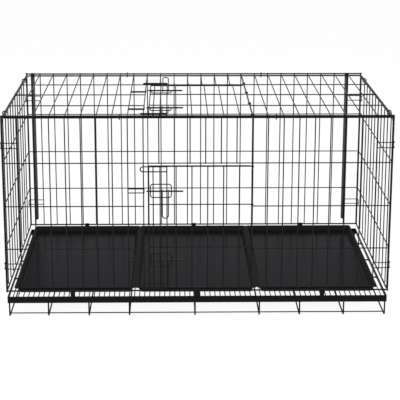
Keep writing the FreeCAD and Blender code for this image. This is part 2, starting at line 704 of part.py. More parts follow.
os.makedirs("parts", exist_ok=True)
for item in NODES:
    item.Shape.exportStep(f"parts/{item.Label}.step")
    print(item.Label, len(item.Shape.Solids), "solids", round(item.Shape.Volume), "mm3")
print(len(NODES), "nodes")
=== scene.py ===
# %% [markdown]
# # A covered pen of welded wire
#
# The pen is a box of black wire mesh that stands on a raised wire floor. A door opens in its front and
# a hatch in its top, the side panels swing inwards, and three shallow trays lie on the floor.
# The CAD model already says where every wire runs. Those places could be typed here a second time, but
# then the two models would drift apart. So this lesson reads them, draws each wire again as bent and
# coated wire, adds the welds, rolls the clips and moulds the trays.

# %% Load the CAD model
import json
import math
from collections import namedtuple

import bmesh
import bpy
import numpy as np
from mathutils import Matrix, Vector


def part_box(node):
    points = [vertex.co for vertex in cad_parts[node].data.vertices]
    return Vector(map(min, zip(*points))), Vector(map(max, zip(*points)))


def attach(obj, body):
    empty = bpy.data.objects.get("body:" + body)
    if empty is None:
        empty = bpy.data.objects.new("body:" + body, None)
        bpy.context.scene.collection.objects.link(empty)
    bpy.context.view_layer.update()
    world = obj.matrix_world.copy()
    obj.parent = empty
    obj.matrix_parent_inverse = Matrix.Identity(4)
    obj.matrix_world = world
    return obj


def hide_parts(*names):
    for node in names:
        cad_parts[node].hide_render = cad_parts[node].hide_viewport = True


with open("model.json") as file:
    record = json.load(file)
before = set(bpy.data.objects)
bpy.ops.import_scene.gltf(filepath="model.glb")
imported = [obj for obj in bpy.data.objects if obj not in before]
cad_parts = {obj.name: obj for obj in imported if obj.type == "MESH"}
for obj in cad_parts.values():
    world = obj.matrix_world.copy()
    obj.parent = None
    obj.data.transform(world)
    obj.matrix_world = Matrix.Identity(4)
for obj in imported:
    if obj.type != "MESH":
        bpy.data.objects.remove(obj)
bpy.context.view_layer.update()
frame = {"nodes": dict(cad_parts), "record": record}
record = frame["record"]
body_of = {node: body for body, nodes in record["behaviour"]["bodies"].items() for node in nodes}
slot_of = {part["node"]: part["material_slot"] for part in record["subparts"]}
MM = 0.001

# %% [markdown]
# ## The camera
#
# The photograph was taken from the front, a little above the pen, with a long lens. A camera could be
# moved by hand until the picture fits, but the eight corners of the pen fix it better: they gave its
# place, its turn, and its focal length in pixels of the picture. Blender wants that length as
# millimetres on the sensor, so it is scaled by the picture's width.

# %% Camera
PICTURE_PIXELS = 400
FOCAL_PIXELS = 1370
SENSOR_MM = 36
CAMERA_PLACE = (-0.077, -4.56, 1.506)
LOOK_DOWN, ROLL, YAW = 14.99, -0.12, -1.12
FARTHEST = 60
scene = bpy.context.scene
lens = bpy.data.cameras.new("pen_camera")
lens.sensor_width = SENSOR_MM
lens.lens = SENSOR_MM * FOCAL_PIXELS / PICTURE_PIXELS
lens.clip_end = FARTHEST
camera = bpy.data.objects.new("pen_camera", lens)
camera.location = CAMERA_PLACE
camera.rotation_mode = "XYZ"
# A camera that isn't turned looks straight down, so 90 degrees bring its view level
camera.rotation_euler = [math.radians(turn) for turn in (90 - LOOK_DOWN, ROLL, YAW)]
scene.collection.objects.link(camera)
scene.camera = camera
print("lens", round(lens.lens, 1), "mm")

# %% [markdown]
# ## Nodes and colours
#
# Materials and Geometry Nodes are both graphs. Building them by hand in the editor can't be repeated,
# and a line of code for every link is hard to read. So one small function serves both: it adds a node,
# gives it its settings, and links or sets its inputs. Colours are written as they look on a screen, in
# hex, and turned to the linear values that the shader works with.

# %% Helpers for nodes and colours
def add_node(tree, kind, inputs=(), **settings):
    """Add a node: an input given as a socket is linked, any other value is set."""
    node = tree.nodes.new(kind)
    for name, value in settings.items():
        setattr(node, name, value)
    for name, value in dict(inputs).items():
        if isinstance(value, bpy.types.NodeSocket):
            tree.links.new(value, node.inputs[name])
        else:
            node.inputs[name].default_value = value
    return node


def linear(code):
    """An sRGB hex colour as linear RGBA."""
    shares = [int(code[place:place + 2], 16) / 255 for place in (1, 3, 5)]
    light = [
        share / 12.92 if share < 0.04045 else ((share + 0.055) / 1.055) ** 2.4 for share in shares]
    return light + [1]


def grains_per_metre(width_mm):
    """Noise scale whose grains are this wide on Object coordinates, which are in metres."""
    return 1000 / width_mm


print("black coat, linear:", [round(share, 4) for share in linear("#0b0b0c")])

# %% [markdown]
# ## Two soft tones
#
# No finish on the pen is one flat colour. Powder and sheet both lie a little unevenly, in soft patches,
# and where the patches are paler they are a little duller too. A painted image could show that, but it
# would stretch along the wires. A noise on Object coordinates has the same real size on every piece, so
# all finishes start from this base.

# %% Base of the finishes
# Most values of a noise lie between these two
NOISE_LOW, NOISE_HIGH = 0.3, 0.7


def patchy_base(name, dark, pale, ior, shine, patch_mm, detail, roughness):
    """A material in two tones, with its shader, its coordinates and its colour for further nodes."""
    material = bpy.data.materials.new(name)
    material.use_nodes = True
    tree = material.node_tree
    shader = tree.nodes["Principled BSDF"]
    shader.inputs["IOR"].default_value = ior
    shader.inputs["Specular IOR Level"].default_value = shine
    place = add_node(tree, "ShaderNodeTexCoord").outputs["Object"]
    patches = add_node(tree, "ShaderNodeTexNoise", {
        "Vector": place, "Scale": grains_per_metre(patch_mm), "Detail": detail}).outputs["Fac"]
    # A Mix node's colour inputs are numbers 6 and 7, because its other kinds share their names
    colour = add_node(tree, "ShaderNodeMix", {
        "Factor": patches, 6: linear(dark), 7: linear(pale)}, data_type="RGBA").outputs[2]
    rough = add_node(tree, "ShaderNodeMapRange", {
        "Value": patches, "From Min": NOISE_LOW, "From Max": NOISE_HIGH,
        "To Min": roughness[0], "To Max": roughness[1]}).outputs[0]
    tree.links.new(colour, shader.inputs["Base Color"])
    tree.links.new(rough, shader.inputs["Roughness"])
    return material, shader, place, colour


# %% [markdown]
# ## Powder coat on steel
#
# The wire is mild steel with a baked powder coat: sprayed on dry, melted into a skin about 0.1 mm
# thick. It leaves a satin black with a faint orange-peel ripple, a little greyer where the powder lay
# thick. The ripple could be modelled, but at this depth a bump is enough for the eye.
# The coat on the bolts and their handles is the same, rubbed through in streaks where steel slides.
# The shine is set below a coat's usual 0.5, because these wires stay black even in a white room.

# %% Powder coats
COAT_IOR = 1.5
TONE_PATCH = 70
GLOSS_SPREAD = 0.14
ORANGE_PEEL = 1.6
PEEL_DEPTH = 0.05 * MM
PEEL_STRENGTH = 0.35
STREAK_WIDTH = 1.2
# Along X the streaks are drawn out to about 17 times their width
STREAK_SCALE = (0.06, 1, 1)
BARE_FROM, BARE_FULL = 0.62, 0.74
BARE_STEEL = "#6b6c70"


def powder_coat(name, dark, pale, gloss, shine, rubbed=None):
    """Satin powder coat, with streaks of bare grey along X where rubbed gives their share."""
    material, shader, place, colour = patchy_base(
        name, dark, pale, COAT_IOR, shine, TONE_PATCH, detail=3,
        roughness=(gloss, gloss + GLOSS_SPREAD))
    tree = material.node_tree
    peel = add_node(tree, "ShaderNodeTexNoise", {
        "Vector": place, "Scale": grains_per_metre(ORANGE_PEEL), "Detail": 1}).outputs["Fac"]
    bump = add_node(tree, "ShaderNodeBump", {
        "Height": peel, "Strength": PEEL_STRENGTH, "Distance": PEEL_DEPTH}).outputs["Normal"]
    tree.links.new(bump, shader.inputs["Normal"])
    if rubbed:
        drawn_out = add_node(
            tree, "ShaderNodeMapping", {"Vector": place, "Scale": STREAK_SCALE}).outputs[0]
        streaks = add_node(tree, "ShaderNodeTexNoise", {
            "Vector": drawn_out, "Scale": grains_per_metre(STREAK_WIDTH), "Detail": 2}).outputs["Fac"]
        bare = add_node(tree, "ShaderNodeMapRange", {
            "Value": streaks, "From Min": BARE_FROM, "From Max": BARE_FULL,
            "To Min": 0, "To Max": rubbed}).outputs[0]
        worn = add_node(tree, "ShaderNodeMix", {
            "Factor": bare, 6: colour, 7: linear(BARE_STEEL)}, data_type="RGBA").outputs[2]
        tree.links.new(worn, shader.inputs["Base Color"])
        tree.links.new(bare, shader.inputs["Metallic"])
    return material


finishes = {
    "wire_coat": powder_coat("powder_coat_on_wire", "#0b0b0c", "#131314", 0.38, 0.14),
    "flat_bar_coat": powder_coat("powder_coat_on_strip", "#0b0b0c", "#111111", 0.34, 0.09),
    "latch_coat": powder_coat(
        "powder_coat_rubbed_on_bolts", "#0b0b0c", "#131314", 0.32, 0.16, rubbed=0.5),
}
print("coats:", ", ".join(finishes))

# %% [markdown]
# ## Moulded tray plastic
#
# The trays are black ABS, vacuum formed from a smooth sheet with a soft sheen. Seen at a low angle the
# floor of a tray mirrors the white room, and near the back it mirrors the tray's own dark wall. The
# slight blue in the floor's colour is a painted reflection of that room. The walls and the rim get a
# finish of
# their own: duller, and a neutral grey painted lighter than the floor as painted light from the front.
# The sheet keeps a fine grain of about 0.8 mm, too fine to show at this distance, so it is drawn three
# times as coarse and very shallow.

# %% Tray plastic
ABS_IOR = 1.53
SHEET_CLOUD = 160
SHEET_ROUGHNESS = (0.2, 0.27)
SHEET_GRAIN = 2.4
GRAIN_DEPTH = 0.04 * MM
GRAIN_STRENGTH = 0.2


def grained_abs(name, dark, pale, shine):
    """Black ABS sheet with a shallow grain of small cells."""
    material, shader, place, _ = patchy_base(
        name, dark, pale, ABS_IOR, shine, SHEET_CLOUD, detail=2, roughness=SHEET_ROUGHNESS)
    tree = material.node_tree
    grain = add_node(tree, "ShaderNodeTexVoronoi", {
        "Vector": place, "Scale": grains_per_metre(SHEET_GRAIN)}).outputs["Distance"]
    bump = add_node(tree, "ShaderNodeBump", {
        "Height": grain, "Strength": GRAIN_STRENGTH, "Distance": GRAIN_DEPTH}).outputs["Normal"]
    tree.links.new(bump, shader.inputs["Normal"])
    return material


# The floor keeps the black of the plastic, with a slight blue that is a painted reflection of the white
# room
finishes["tray_plastic"] = grained_abs("moulded_grained_abs", "#131217", "#1b1a20", 0.006)
# The walls' lighter neutral grey is painted light, for the stronger light that falls on them from the
# front
painted_lit_wall = grained_abs("drawn_wall_abs", "#1e1e1e", "#262625", 0.0015)
print("plastics:", finishes["tray_plastic"].name, painted_lit_wall.name)

# %% [markdown]
# ## Reading the wires from the model
#
# A node of the CAD model is a bag of triangles. A merged copy falls apart into its solids, and solids
# that touch belong to one wire, such as the runs and bends of a frame. Nearly every wire here lies
# along X, Y or Z, so the box round it is enough to give its ends and its diameter. Fitting a line
# through the points would do the same with more work.

# %% Wires as boxes
SAME_POINT = 0.001 * MM
SAME_WIRE = 0.05 * MM


def linked_points(copy):
    """The places of the points of each solid in a merged mesh."""
    seen = set()
    for first in copy.verts:
        if first in seen:
            continue
        seen.add(first)
        reached = [first]
        for vert in reached:
            for edge in vert.link_edges:
                other = edge.other_vert(vert)
                if other not in seen:
                    seen.add(other)
                    reached.append(other)
        yield np.array([vert.co for vert in reached])


def wire_boxes(node):
    """Lowest and highest corner of each wire of a node."""
    copy = bmesh.new()
    copy.from_mesh(frame["nodes"][node].data)
    bmesh.ops.remove_doubles(copy, verts=copy.verts, dist=SAME_POINT)
    boxes = []
    for places in linked_points(copy):
        low, high = places.min(0), places.max(0)
        apart = []
        for box in boxes:
            if np.all(box[0] < high + SAME_WIRE) and np.all(box[1] > low - SAME_WIRE):
                low, high = np.minimum(low, box[0]), np.maximum(high, box[1])
            else:
                apart.append(box)
        boxes = apart + [(low, high)]
    copy.free()
    return boxes


boxes_of = {node: wire_boxes(node) for node in body_of}
FINE_WIRE = min(min(high - low) for low, high in boxes_of["front_door_bolt_guides"])
print(sum(len(boxes) for boxes in boxes_of.values()), "wires and plates")
print("fine wire", round(FINE_WIRE / MM, 2), "mm")

# %% [markdown]
# ## Pieces
#
# Every piece is a mesh at the origin, with its place in its points, as the CAD nodes have it. It could
# be placed by its object instead, but then its body's motion would have to be added to that place.
# A piece rides on the body of the node that it stands for, hides that node, and takes its finish from
# the node's slot. What modifiers make is turned to a plain mesh, because only that can be handed on.

# %% Helpers for pieces
pieces = []


def new_piece(name, mesh):
    """An object at the origin that shows a mesh."""
    piece = bpy.data.objects.new(name, mesh)
    scene.collection.objects.link(piece)
    return piece


def mesh_piece(name, mesh, materials):
    """A piece from a mesh that was built face by face."""
    data = bpy.data.meshes.new(name)
    mesh.to_mesh(data)
    mesh.free()
    for material in materials:
        data.materials.append(material)
    return new_piece(name, data)


def settle(piece):
    """Turn what a piece's modifiers make into its own mesh."""
    graph = bpy.context.evaluated_depsgraph_get()
    mesh = bpy.data.meshes.new_from_object(piece.evaluated_get(graph), depsgraph=graph)
    before = piece.data
    piece.modifiers.clear()
    piece.data = mesh
    bpy.data.meshes.remove(before)


def dress(piece, node):
    """The piece stands for a node: it moves with its body and hides the node."""
    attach(piece, body_of[node])
    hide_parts(node)
    pieces.append(piece)


print("slots:", ", ".join(sorted(set(slot_of.values()))))

# %% [markdown]
# ## Trees that make pieces
#
# Wires and welds come in hundreds, so two Geometry Nodes trees make them. Copies of an object would
# work, but a tree keeps the sizes as named inputs and gives one mesh for a whole node. Both trees take
# a mesh and a coat, and both end by making instances real and giving them the coat.

# %% Helpers for trees
def new_tree(name, given_shape, counts, made_shape):
    """A tree with its sockets: a shape, some counts and a coat come in, and a shape goes out."""
    tree = bpy.data.node_groups.new(name, "GeometryNodeTree")
    inputs = [(given_shape, "NodeSocketGeometry")]
    inputs += [(label, "NodeSocketInt") for label in counts]
    inputs.append(("Coat", "NodeSocketMaterial"))
    for label, kind in inputs:
        tree.interface.new_socket(label, in_out="INPUT", socket_type=kind)
    tree.interface.new_socket(made_shape, in_out="OUTPUT", socket_type="NodeSocketGeometry")
    return tree, add_node(tree, "NodeGroupInput").outputs


def end_tree(tree, shape, coat, made_shape):
    """Make instances real, coat the shape and lead it out of the tree."""
    whole = add_node(tree, "GeometryNodeRealizeInstances", {"Geometry": shape}).outputs[0]
    coated = add_node(
        tree, "GeometryNodeSetMaterial", {"Geometry": whole, "Material": coat}).outputs[0]
    add_node(tree, "NodeGroupOutput", {made_shape: coated})


def apply_tree(piece, tree, **values):
    """Give a piece a tree with its named inputs, and keep the result as a plain mesh."""
    modifier = piece.modifiers.new(tree.name, "NODES")
    modifier.node_group = tree
    for item in tree.interface.items_tree:
        name = item.name.lower().replace(" ", "_")
        if item.in_out == "INPUT" and name in values:
            modifier[item.identifier] = values[name]
    settle(piece)


# %% [markdown]
# ## One tree that draws any wire
#
# A wire is a path with a round section. A curve object with a bevel could draw it, but its bends would
# have to be worked out point by point. Here each path is a chain of edges whose points carry two
# numbers: the radius of the wire there, and the radius of the bend. The tree turns the chain into a
# curve, rounds its corners and sweeps a circle along it.

# %% Wire tree
wire_tree, given = new_tree("coated_wire", "Path", ("Sides", "Bend steps"), "Wire")
bend_radius, wire_radius = [
    add_node(wire_tree, "GeometryNodeInputNamedAttribute", {"Name": name}, data_type="FLOAT").outputs[0]
    for name in ("bend_radius", "wire_radius")]
chain = add_node(wire_tree, "GeometryNodeMeshToCurve", {"Mesh": given["Path"]}).outputs[0]
bent = add_node(wire_tree, "GeometryNodeFilletCurve", {
    "Curve": chain, "Count": given["Bend steps"], "Radius": bend_radius}, mode="POLY").outputs[0]
section = add_node(wire_tree, "GeometryNodeCurvePrimitiveCircle", {
    "Resolution": given["Sides"], "Radius": 1}).outputs["Curve"]
swept = add_node(wire_tree, "GeometryNodeCurveToMesh", {
    "Curve": bent, "Profile Curve": section, "Scale": wire_radius, "Fill Caps": True}).outputs[0]
smooth = add_node(wire_tree, "GeometryNodeSetShadeSmooth", {"Geometry": swept}).outputs[0]
end_tree(wire_tree, smooth, given["Coat"], "Wire")
print(wire_tree.name, len(wire_tree.nodes), "nodes")

# %% [markdown]
# ## Runs of wire
#
# Shears leave the cut ends a little narrower than the wire, and the coat rounds them. A bevel on every
# end would round them as well. It is simpler to let the radius taper along the path: an end is a short
# list of steps in millimetres and shares of the full radius.

# %% Runs of wire
SHEARED_END = ((0, 0.6), (0.35, 0.88), (0.9, 1), (2.6, 1))
WIRE_SIDES = 12
BEND_STEPS = 7


def cut_end(end, toward, diameter, shares):
    """Stations from a cut end to where the wire has its full thickness."""
    ahead = (toward - end) / np.linalg.norm(toward - end)
    return [(end + ahead * step * MM, diameter / 2 * share, 0) for step, share in shares]


def open_run(points, diameter, bend=0, first_end=SHEARED_END, last_end=SHEARED_END):
    """A wire with two cut ends: stations of (place, wire radius, bend radius)."""
    points = [np.array(point, float) for point in points]
    stations = cut_end(points[0], points[1], diameter, first_end)
    stations += [(point, diameter / 2, bend) for point in points[1:-1]]
    stations += reversed(cut_end(points[-1], points[-2], diameter, last_end))
    return {"stations": stations, "closed": False}


def closed_run(points, diameter, bend):
    """A wire that closes on itself, with the same bend at every corner."""
    stations = [(np.array(point, float), diameter / 2, bend) for point in points]
    return {"stations": stations, "closed": True}


def draw_wires(node, runs, sides=WIRE_SIDES):
    """One piece of coated wire that stands for a node, from its runs."""
    places, links, radii, bends = [], [], [], []
    for run in runs:
        first = len(places)
        for place, radius, bend in run["stations"]:
            places.append(tuple(place))
            radii.append(radius)
            bends.append(bend)
        links += [(at, at + 1) for at in range(first, len(places) - 1)]
        if run["closed"]:
            links.append((len(places) - 1, first))
    mesh = bpy.data.meshes.new(f"{node}_coated")
    mesh.from_pydata(places, links, [])
    for label, values in (("wire_radius", radii), ("bend_radius", bends)):
        mesh.attributes.new(label, "FLOAT", "POINT").data.foreach_set("value", values)
    piece = new_piece(f"{node}_coated", mesh)
    apply_tree(piece, wire_tree, sides=sides, bend_steps=BEND_STEPS, coat=finishes[slot_of[node]])
    dress(piece, node)


metre = open_run([(0, 0, 0), (1, 0, 0)], FINE_WIRE)
print("a straight wire has", len(metre["stations"]), "stations")

# %% [markdown]
# ## Straight wires
#
# Most of the pen is straight wire, cut to length and welded where it crosses. Scaled cylinders would
# have sharp ends, so these go through the same tree as the bent ones. The longest side of a wire's box
# is its direction, and the short sides are its diameter. The model has the bare wire, so the coat comes
# on top, and the small wires of the latches take the most powder. Each straight length is kept in a
# list, because the welds are found from it later.

# %% Straight wires
COAT = 0.1 * MM
LATCH_COAT = 0.2 * MM
LEAVES = ("front_door", "top_hatch")
Wire = namedtuple("Wire", "body start end radius")
straight_lengths = []


def straight(box):
    """Both ends of a straight wire, and its diameter."""
    low, high = box
    along = int((high - low).argmax())
    start = (low + high) / 2
    end = start.copy()
    start[along], end[along] = low[along], high[along]
    return start, end, max(np.delete(high - low, along))


straight_nodes = [
    "front_uprights", "front_rails", "front_row_wires",
    "back_uprights", "back_rails", "back_row_wires",
    "top_cross_wires", "top_long_wires", "top_end_bars",
    "floor_wires", "floor_cross_wires", "skid_tie_wires",
]
for side in ("left", "right"):
    straight_nodes += [f"{side}_side_uprights", f"{side}_side_row_wires"]
for leaf in LEAVES:
    straight_nodes += [f"{leaf}_uprights", f"{leaf}_rails", f"{leaf}_strike_bars"]
for node in straight_nodes:
    coat = LATCH_COAT if node.endswith("strike_bars") else COAT
    runs = []
    for box in boxes_of[node]:
        start, end, diameter = straight(box)
        runs.append(open_run([start, end], diameter + 2 * coat))
        straight_lengths.append(Wire(body_of[node], start, end, diameter / 2))
    draw_wires(node, runs)
print(len(straight_lengths), "straight wires in", len(pieces), "pieces")

# %% [markdown]
# ## Bent frames
#
# The top and the side panels are edged with one thick wire, bent to a rectangle and butt welded, and
# a smaller rectangle of fine wire keeps each bolt's handle from swinging about. Four straight wires
# with elbows between them would show seams. So the path is one closed loop of four corners, half a wire
# inside the box, and the tree rounds them.

# %% Bent frames
FRAME_BEND = 16 * MM
KEEPER_BEND = 8 * MM
ButtWeld = namedtuple("ButtWeld", "body place radius along")
butt_welds = []


def bent_frame(box, bend, body, coat):
    """A closed rectangle of wire from its box. Its straight sides can carry welds."""
    low, high = box
    flat = int((high - low).argmin())
    diameter = (high - low)[flat]
    low, high = low + diameter / 2, high - diameter / 2
    first, second = [axis for axis in range(3) if axis != flat]
    corners = []
    for at_first, at_second in ((low, low), (high, low), (high, high), (low, high)):
        corner = (low + high) / 2
        corner[first], corner[second] = at_first[first], at_second[second]
        corners.append(corner)
    for start, end in zip(corners, corners[1:] + corners[:1]):
        ahead = (end - start) / np.linalg.norm(end - start)
        straight_lengths.append(Wire(body, start + ahead * bend, end - ahead * bend, diameter / 2))
    along = np.abs(corners[1] - corners[0]) > 0
    butt_welds.append(ButtWeld(body, (corners[2] + corners[3]) / 2, diameter / 2, along))
    return closed_run(corners, diameter + 2 * coat, bend)


for node in ("top_frame", "left_side_frame", "right_side_frame"):
    draw_wires(node, [bent_frame(box, FRAME_BEND, body_of[node], COAT) for box in boxes_of[node]])
for leaf in LEAVES:
    node = f"{leaf}_latch_keepers"
    body = body_of[node]
    draw_wires(node, [bent_frame(box, KEEPER_BEND, body, LATCH_COAT) for box in boxes_of[node]])
print(len(butt_welds), "bent frames")

# %% [markdown]
# ## Hairpins, hooks and skids
#
# Three more kinds of bent wire are open at both ends. A stop tab is a hairpin that keeps a leaf from
# passing through its opening. A corner keeper is a hairpin hooked round the side panel's post. A skid
# is a wide U whose legs stand under the floor. A maker bends each from one length, so each is one path
# here, read off its box corner by corner.

# %% Stop tabs
# Half the width would make both bends of a hairpin meet in one point, so they stop just short of it
HAIRPIN_BEND = 0.495


def stop_tab(box, body):
    """A hairpin that lies along X, with its round end on the left."""
    low, high = box
    flat = int(np.argmin(high - low))
    across = 3 - flat
    diameter = (high - low)[flat]
    near, far = (low + high) / 2, (low + high) / 2
    near[across], far[across] = low[across] + diameter / 2, high[across] - diameter / 2
    round_x = low[0] + diameter / 2
    points = [near.copy(), near.copy(), far.copy(), far.copy()]
    for point, x in zip(points, (high[0], round_x, round_x, high[0])):
        point[0] = x
    bend = HAIRPIN_BEND * (far[across] - near[across])
    for tip, turn in ((points[0], points[1]), (points[3], points[2])):
        straight_lengths.append(Wire(body, turn + np.array([bend, 0, 0]), tip, diameter / 2))
    return open_run(points, diameter + 2 * LATCH_COAT, bend)


for leaf in LEAVES:
    node = f"{leaf}_stop_tabs"
    draw_wires(node, [stop_tab(box, body_of[node]) for box in boxes_of[node]])
    print(node, len(boxes_of[node]))

# %% Corner keepers
HOOK_BEND = 4 * MM


def corner_keeper(box, body):
    """A hairpin across the corner: two legs along the panel, each hooked inwards at its tip."""
    low, high = box
    half = FINE_WIRE / 2
    middle = (low + high) / 2
    root_x, tip_x = (low[0], high[0] - half) if middle[0] > 0 else (high[0], low[0] + half)
    front_y, back_y = low[1] + half, high[1] - half
    out_y, in_y = (back_y, front_y) if middle[1] > 0 else (front_y, back_y)
    points = []
    for z, order in ((high[2] - half, 1), (low[2] + half, -1)):
        points += [(root_x, out_y, z), (tip_x, out_y, z), (tip_x, in_y, z)][::order]
        left, right = [np.array([x, out_y, z]) for x in sorted((root_x, tip_x))]
        straight_lengths.append(Wire(body, left, right, half))
    return open_run(points, FINE_WIRE, HOOK_BEND)


for node in ("front_corner_keepers", "back_corner_keepers"):
    draw_wires(node, [corner_keeper(box, body_of[node]) for box in boxes_of[node]])
    print(node, len(boxes_of[node]))

# %% Skids
SKID_BEND = 8 * MM


def skid(box, body):
    """A wide U across the depth of the pen, open at the top."""
    low, high = box
    diameter = high[0] - low[0]
    x = (low[0] + high[0]) / 2
    front, back, ground = low[1] + diameter / 2, high[1] - diameter / 2, low[2] + diameter / 2
    points = [(x, front, high[2]), (x, front, ground), (x, back, ground), (x, back, high[2])]
    turn = ground + SKID_BEND
    for start, end in (
        ((x, front, turn), points[0]),
        ((x, back, turn), points[3]),
        ((x, front + SKID_BEND, ground), (x, back - SKID_BEND, ground)),
    ):
        straight_lengths.append(Wire(body, np.array(start), np.array(end), diameter / 2))
    return open_run(points, diameter, SKID_BEND)


draw_wires("skids", [skid(box, body_of["skids"]) for box in boxes_of["skids"]])
print("skids", len(boxes_of["skids"]))

# %% [markdown]
# ## Rings
#
# Rings of fine wire carry the leaves on their hinge posts, guide the bolts, and tie the top to the
# walls. A torus would be closed, but such a ring is bent shut from a cut length of wire and keeps a
# small gap. So it is drawn as a run along a circle. The gap faces the wire that the ring is welded to,
# and on the loose tie rings it faces into the pen.

# %% Rings
RING_STATIONS = 24
RING_GAP = 1.2 * MM
# Thicker wire springs back further, so this share of its diameter is added to the gap
SPRING_BACK = 0.2
RING_END = ((0, 0.62), (0.3, 0.88), (0.7, 1))
# The radius is that of the ring's circle, and thick is the radius of its wire
Ring = namedtuple("Ring", "body centre axis radius thick")
welded_rings = []


def bent_ring(centre, axis, radius, diameter, gap_toward):
    """A ring about a world axis, open by a small gap on one side."""
    first = np.array(gap_toward, float)
    first[axis] = 0
    first /= np.linalg.norm(first)
    second = np.cross(np.eye(3)[axis], first)
    half_gap = (RING_GAP + diameter * SPRING_BACK) / 2 / radius
    points = []
    for angle in np.linspace(half_gap, 2 * math.pi - half_gap, RING_STATIONS):
        points.append(centre + radius * (math.cos(angle) * first + math.sin(angle) * second))
    return open_run(points, diameter, 0, RING_END, RING_END)


def ring_in_box(box, gap_toward, body=None):
    """A ring that fills its box. With a body it counts as welded there."""
    low, high = box
    axis = int((high - low).argmin())
    diameter = (high - low)[axis]
    radius = max(np.delete(high - low, axis)) / 2 - diameter / 2
    centre = (low + high) / 2
    if body:
        welded_rings.append(Ring(body, centre, axis, radius, diameter / 2))
    return bent_ring(centre, axis, radius, diameter, gap_toward)


print("rings have a gap of", RING_GAP / MM, "mm or more")

# %% Welded rings and tie rings
inward_of = {"front_door": np.array([0, 1, 0]), "top_hatch": np.array([0, 0, -1])}
for leaf, inward in inward_of.items():
    # A hinge eye meets its rail between the rail's own direction and inwards
    to_rail = 0.5 * inward - (1, 0, 0)
    for kind, toward in (("hinge_rings", to_rail), ("bolt_guides", inward), ("strike_eyes", inward)):
        node = f"{leaf}_{kind}"
        draw_wires(node, [ring_in_box(box, toward, body_of[node]) for box in boxes_of[node]])
for node in ("top_tie_rings", "side_hinge_rings"):
    runs = []
    for low, high in boxes_of[node]:
        # Towards the middle of the pen, and a little downwards
        into_pen = -(low + high) * (1, 1, 0) - (0, 0, 0.2)
        runs.append(ring_in_box((low, high), into_pen))
    draw_wires(node, runs)
print(len(welded_rings), "welded rings")

# %% [markdown]
# ## Slide bolts and handles
#
# Each leaf is shut by two bolts: a thick wire with a tapered nose that slides through two guides into
# the strike eye. A loop of fine wire hangs on the bolt from two eyes, as its handle. The four handles
# hang, lie and stand differently, so their box isn't enough: a handle's direction is that of its points
# furthest from the bolt.

# %% Slide bolts and handles
BOLT_SIDES = 20
BOLT_NOSE = ((0, 0.42), (0.5, 0.6), (2.2, 0.86), (4, 0.97), (5.2, 1), (7, 1))
BOLT_TAIL = ((0, 0.5), (0.4, 0.78), (1.1, 0.96), (1.8, 1), (3.5, 1))
EYE_SLACK = 0.1 * MM
TIP_DEPTH = 0.4 * MM
# The coated loop is a little shorter than the bare one, so that it doesn't reach past it
LOOP_SETBACK = 4 * LATCH_COAT


def handle_runs(node, bolt_end, bolt_diameter):
    """The loop of a handle and its two eyes on the bolt."""
    points = np.array([vert.co for vert in frame["nodes"][node].data.vertices])
    from_bolt = (points - bolt_end) * (0, 1, 1)
    reach = np.linalg.norm(from_bolt, axis=1)
    away = from_bolt[reach > reach.max() - TIP_DEPTH].mean(0)
    away /= np.linalg.norm(away)
    eye_radius = bolt_diameter / 2 + EYE_SLACK + FINE_WIRE / 2
    length = reach.max() - FINE_WIRE / 2 - LOOP_SETBACK
    left_x, right_x = points[:, 0].min() + FINE_WIRE / 2, points[:, 0].max() - FINE_WIRE / 2
    left, right = [np.array([x, bolt_end[1], bolt_end[2]]) for x in (left_x, right_x)]
    corners = [left + eye_radius * away, left + length * away]
    corners += [right + length * away, right + eye_radius * away]
    runs = [open_run(corners, FINE_WIRE + 2 * LATCH_COAT, HAIRPIN_BEND * (right_x - left_x))]
    return runs + [bent_ring(eye, 0, eye_radius, FINE_WIRE, away) for eye in (left, right)]


for latch in ("door_lower", "door_upper", "hatch_front", "hatch_back"):
    nose, tail, bolt_diameter = straight(boxes_of[f"{latch}_bolt"][0])
    bolt = open_run([nose, tail], bolt_diameter, 0, BOLT_NOSE, BOLT_TAIL)
    draw_wires(f"{latch}_bolt", [bolt], BOLT_SIDES)
    draw_wires(f"{latch}_handle", handle_runs(f"{latch}_handle", nose, bolt_diameter))
print("bolt", round(bolt_diameter / MM, 1), "by", round((tail - nose)[0] / MM, 1), "mm")

# %% [markdown]
# ## Welds
#
# Every crossing of two wires in a panel is spot welded: the wires sink into each other a little, and
# the coat fills the corner between them. Joining the wires with booleans would be slow and would leave
# hard edges, so a small flattened bead sits on each crossing. The crossings follow from the straight
# wires, so the script finds them: wires that run in different directions and touch. Rings, the butt
# welds of the frames and the ends of the floor wires get their beads in the same way.

# %% Welds of two straight wires
TOUCH = 0.4 * MM
# Reach of a bead as a share of the thinner wire's radius, along the two wires and across them
BEAD_SPREAD, BEAD_HEIGHT = 1.5, 0.95
beads = {}


def crossing(wire, other):
    """Where two straight wires touch, and the reach of the bead there along X, Y and Z."""
    along = int(np.abs(wire.end - wire.start).argmax())
    other_along = int(np.abs(other.end - other.start).argmax())
    if along == other_along:
        return None
    across = 3 - along - other_along
    place = wire.start.copy()
    low, high = sorted((wire.start[along], wire.end[along]))
    place[along] = min(max(other.start[along], low), high)
    low, high = sorted((other.start[other_along], other.end[other_along]))
    place[other_along] = min(max(wire.start[other_along], low), high)
    if abs(other.start[along] - place[along]) > other.radius + TOUCH:
        return None
    if abs(wire.start[other_along] - place[other_along]) > wire.radius + TOUCH:
        return None
    apart = other.start[across] - wire.start[across]
    if abs(apart) > wire.radius + other.radius + TOUCH:
        return None
    place[across] += apart * wire.radius / (wire.radius + other.radius)
    bead = np.full(3, BEAD_SPREAD * min(wire.radius, other.radius))
    bead[across] = BEAD_HEIGHT * min(wire.radius, other.radius)
    return place, bead


for number, wire in enumerate(straight_lengths):
    for other in straight_lengths[:number]:
        found = crossing(wire, other) if wire.body == other.body else None
        if found:
            beads.setdefault(wire.body, []).append(found)
print(sum(len(found) for found in beads.values()), "crossings")

# %% Welds of rings
RING_BEAD = 1.25
RING_SAMPLES = 72


